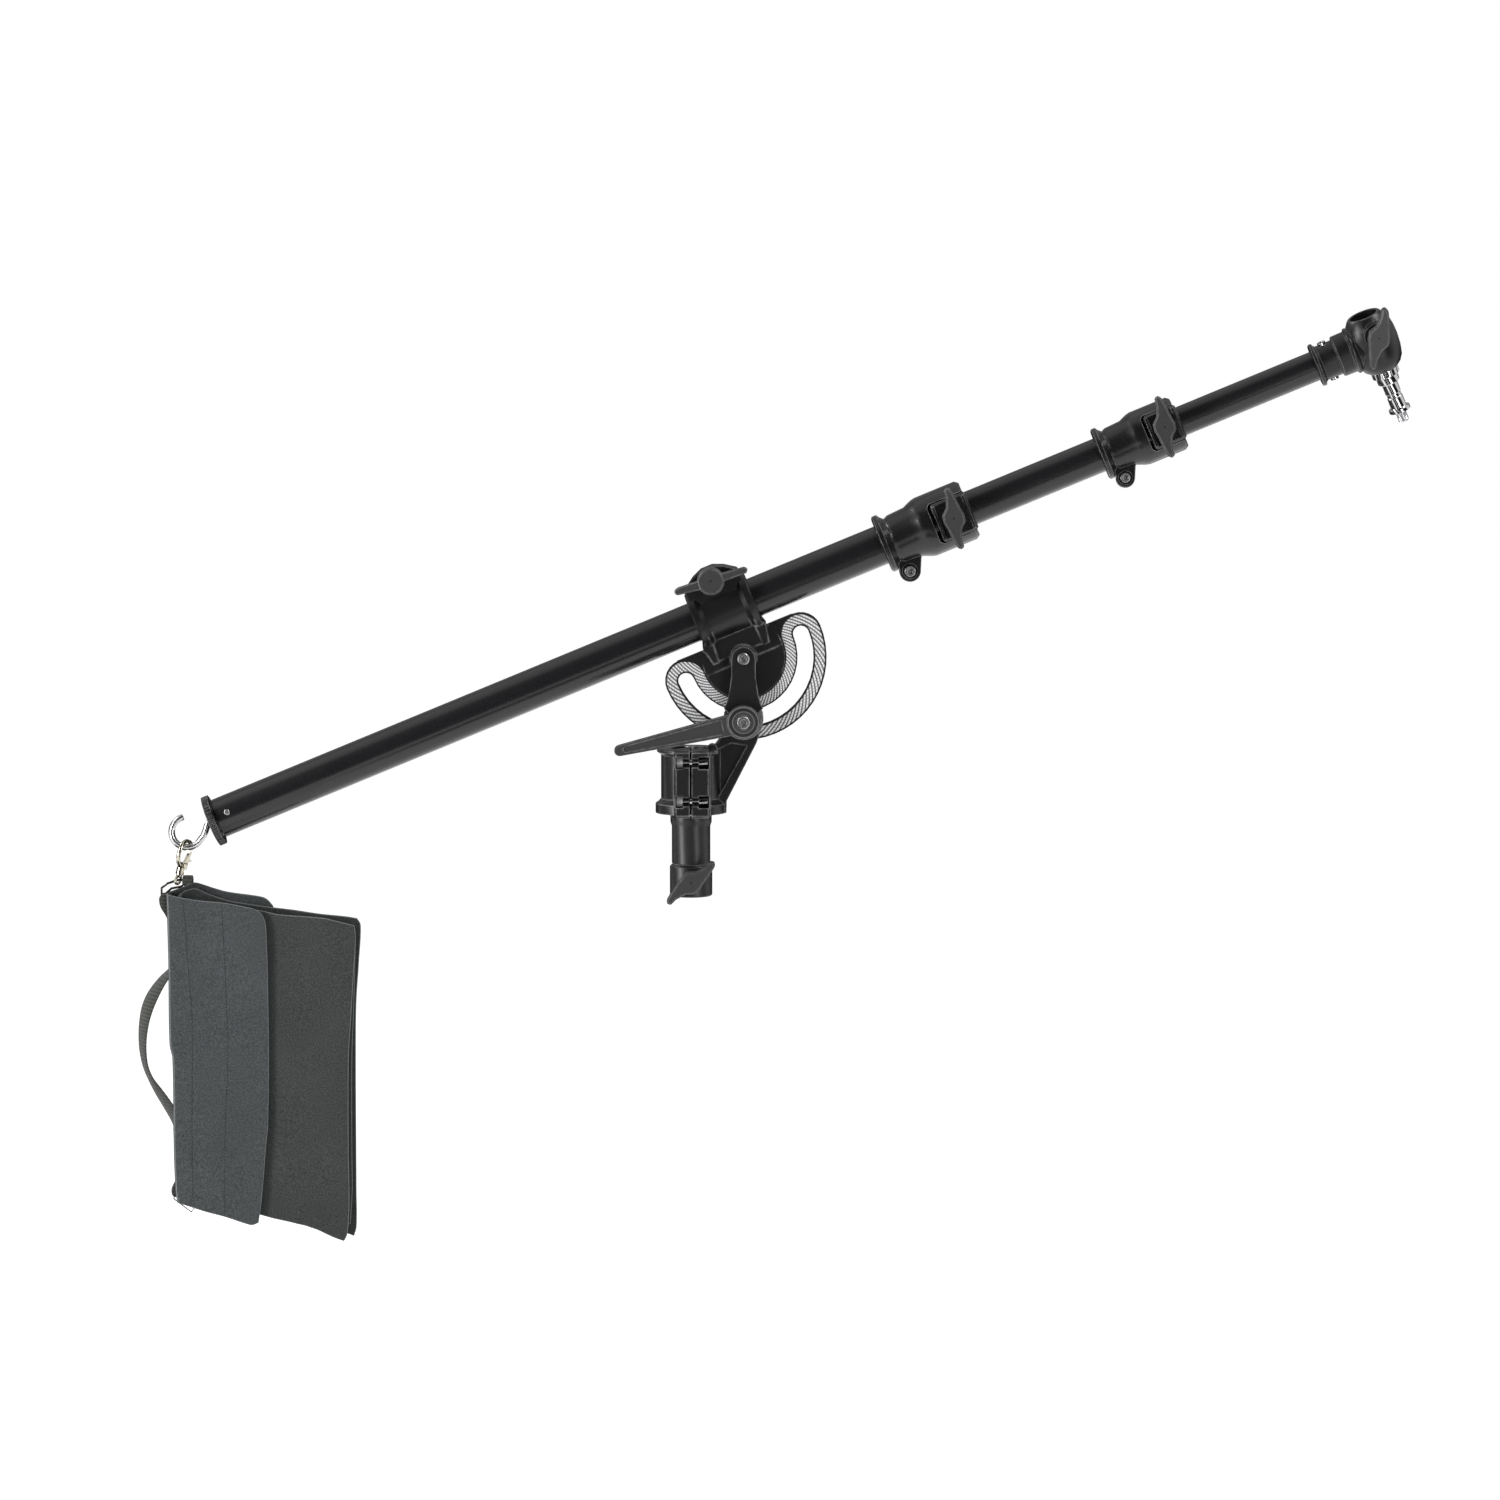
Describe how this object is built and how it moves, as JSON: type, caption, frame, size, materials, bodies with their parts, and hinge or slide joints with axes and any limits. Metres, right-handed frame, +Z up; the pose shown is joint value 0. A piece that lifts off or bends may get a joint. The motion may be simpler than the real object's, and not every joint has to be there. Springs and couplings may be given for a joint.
{
  "type": "boom arm",
  "caption": "Telescopic boom arm for a lighting stand: tilt clamp with curved slot and lever, T-knob collars, lamp stud at the tip, and a counterweight bag on the rear hook.",
  "frame": {"origin": "centre of the stand socket's mouth, on its lower rim, where the arm drops onto a stand", "axes": "+Z up along the socket, +X towards the tip of the boom, -Y towards the side with the knobs; the boom is stored tipped up by 22.5 degrees, as pictured"},
  "size_m": [1.2744, 0.0859, 0.9406],
  "materials": {
    "tube_black": "gloss",
    "casting_black": "satin",
    "post_grey": "satin",
    "moulded_grey": "matte",
    "chrome": "polished",
    "steel": "satin",
    "nickel": "satin",
    "brass": "satin",
    "nylon": "matte",
    "canvas": "matte",
    "webbing": "matte"
  },
  "bodies": {
    "stand": {"stand_socket": "post_grey", "socket_pad": "brass", "spindle_screw": "steel"},
    "socket_knob": {"socket_knob": "moulded_grey"},
    "bracket": {"base_bracket": "casting_black", "thrust_washer": "nylon", "pinch_bolt_upper": "chrome", "pinch_bolt_lower": "chrome", "pinch_nut_upper": "steel", "pinch_nut_lower": "steel", "link_plate_front": "casting_black", "link_plate_rear": "casting_black", "friction_disc_front": "steel", "friction_disc_rear": "steel", "pivot_bolt": "chrome", "pivot_nut": "steel", "lever_stud": "steel", "slot_bush": "nylon"},
    "lever_core": {"lever_insert": "steel", "lever_screw": "chrome", "lever_spring": "steel"},
    "lever_handle": {"lever_handle": "moulded_grey"},
    "clamp": {"tilt_clamp": "casting_black", "clamp_liner": "nylon", "clamp_nut": "steel"},
    "clamp_knob": {"clamp_knob": "moulded_grey"},
    "outer_boom": {"outer_tube": "tube_black", "end_cap": "casting_black", "cap_rivet": "steel", "hook": "chrome", "hook_nut": "steel", "collar_1": "casting_black", "collar_1_screw": "chrome", "brake_block_1": "casting_black"},
    "knob_1": {"collar_1_knob": "moulded_grey"},
    "middle_boom": {"middle_tube": "tube_black", "middle_guide": "nylon", "collar_2": "casting_black", "collar_2_screw": "chrome", "brake_block_2": "casting_black"},
    "knob_2": {"collar_2_knob": "moulded_grey"},
    "inner_boom": {"inner_tube": "tube_black", "inner_guide": "nylon", "tip_collar": "casting_black", "set_screw_upper": "chrome", "set_screw_lower": "chrome", "socket_head": "casting_black"},
    "head_knob": {"head_knob": "moulded_grey"},
    "spigot": {"spigot": "chrome"},
    "snap": {"snap_hook": "nickel"},
    "snap_gate": {"snap_gate": "nickel"},
    "bag": {"snap_swivel": "nickel", "bag_ring": "nickel", "bag_flap": "canvas", "bag_pouch": "canvas", "bag_handle": "webbing", "side_tab": "webbing", "top_tab": "webbing", "bottom_tab": "webbing", "bottom_ring": "nickel"}
  },
  "joints": [
    {"name": "pan", "type": "hinge", "parent": "stand", "child": "bracket", "pos_m": [0, 0, 0.11], "axis": [0, 0, 1], "continuous": true},
    {"name": "socket_knob_turn", "type": "hinge", "parent": "stand", "child": "socket_knob", "pos_m": [0, -0.03, 0.0165], "axis": [0, -1, 0], "continuous": true},
    {"name": "tilt", "type": "hinge", "parent": "bracket", "child": "clamp", "pos_m": [0.0525, 0, 0.24], "axis": [0, -1, 0], "range_deg": [-107.5, 32.5]},
    {"name": "clamp_knob_turn", "type": "hinge", "parent": "clamp", "child": "clamp_knob", "pos_m": [0.01997, -0.03, 0.31853], "axis": [0, -1, 0], "continuous": true},
    {"name": "lever_turn", "type": "hinge", "parent": "bracket", "child": "lever_core", "pos_m": [0.0525, -0.02, 0.178], "axis": [0, 1, 0], "range_deg": [0, 45]},
    {"name": "lever_lift", "type": "slide", "parent": "lever_core", "child": "lever_handle", "axis": [0, -1, 0], "range_m": [0, 0.005], "stiffness_N_per_m": 1500, "springref_m": -0.001, "deforming": ["lever_spring"]},
    {"name": "boom_slide", "type": "slide", "parent": "clamp", "child": "outer_boom", "axis": [0.9239, 0, 0.3827], "range_m": [-0.08, 0.2]},
    {"name": "knob_1_turn", "type": "hinge", "parent": "outer_boom", "child": "knob_1", "pos_m": [0.26118, -0.035, 0.38164], "axis": [0, -1, 0], "continuous": true},
    {"name": "middle_slide", "type": "slide", "parent": "outer_boom", "child": "middle_boom", "axis": [0.9239, 0, 0.3827], "range_m": [-0.132, 0.5]},
    {"name": "knob_2_turn", "type": "hinge", "parent": "middle_boom", "child": "knob_2", "pos_m": [0.46978, -0.03481, 0.47201], "axis": [-0.04, -0.9945, 0.0966], "continuous": true},
    {"name": "inner_slide", "type": "slide", "parent": "middle_boom", "child": "inner_boom", "axis": [0.9239, 0, 0.3827], "range_m": [-0.125, 0.5]},
    {"name": "head_knob_turn", "type": "hinge", "parent": "inner_boom", "child": "head_knob", "pos_m": [0.68052, -0.03665, 0.56086], "axis": [0.073, -0.9816, -0.1763], "continuous": true},
    {"name": "spigot_turn", "type": "hinge", "parent": "inner_boom", "child": "spigot", "pos_m": [0.67878, 0, 0.55461], "axis": [-0.3757, -0.1908, 0.9069], "continuous": true},
    {"name": "snap_swing", "type": "hinge", "parent": "outer_boom", "child": "snap", "pos_m": [-0.50452, 0, 0.06393], "axis": [0, 1, 0], "range_deg": [-35, 40]},
    {"name": "gate_open", "type": "hinge", "parent": "snap", "child": "snap_gate", "pos_m": [-0.50813, 0.00332, 0.02991], "axis": [-0.8044, 0.5592, 0.2006], "range_deg": [-25, 0], "stiffness_Nm_per_rad": 0.02, "springref_deg": 17.19},
    {"name": "bag_swivel", "type": "hinge", "parent": "snap", "child": "bag", "pos_m": [-0.514, 0, 0.0156], "axis": [0.2419, 0, 0.9703], "continuous": true}
  ]
}
